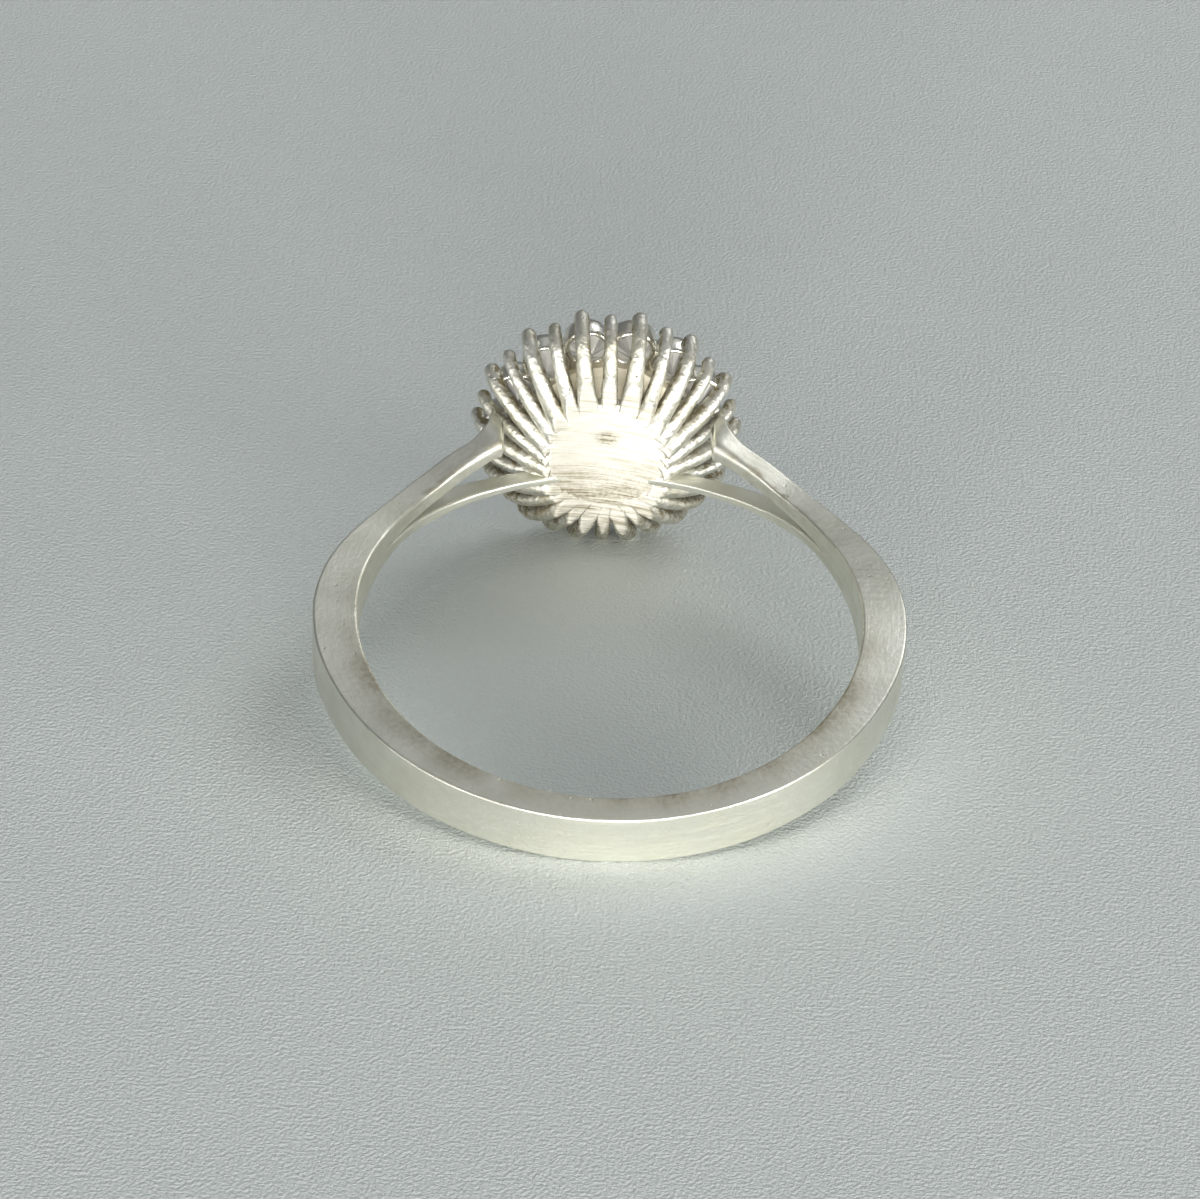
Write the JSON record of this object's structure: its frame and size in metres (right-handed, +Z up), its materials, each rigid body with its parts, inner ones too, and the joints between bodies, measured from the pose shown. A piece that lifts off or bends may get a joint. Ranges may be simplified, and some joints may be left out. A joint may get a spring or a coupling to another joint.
{
  "type": "semi-mount ring",
  "caption": "Split-shank finger ring with an oval wire basket and a halo of small round stones, its centre seat empty, lying on its side.",
  "frame": {"origin": "middle of the bounding box's base, on the surface that the ring lies on", "axes": "+Z up, +Y towards the head, +X across the finger hole; the finger hole's axis leans back from +Z by the rest tilt of 11.5 degrees"},
  "size_m": [0.0204, 0.0214, 0.01],
  "materials": {
    "silver": "polished silver, softly brushed",
    "clear_stone": "clear, brilliant cut"
  },
  "bodies": {
    "root": {"ring_mount": "silver", "accent_stone_01": "clear_stone", "accent_stone_02": "clear_stone", "accent_stone_03": "clear_stone", "accent_stone_04": "clear_stone", "accent_stone_05": "clear_stone", "accent_stone_06": "clear_stone", "accent_stone_07": "clear_stone", "accent_stone_08": "clear_stone", "accent_stone_09": "clear_stone", "accent_stone_10": "clear_stone", "accent_stone_11": "clear_stone", "accent_stone_12": "clear_stone", "accent_stone_13": "clear_stone", "accent_stone_14": "clear_stone"}
  },
  "joints": []
}
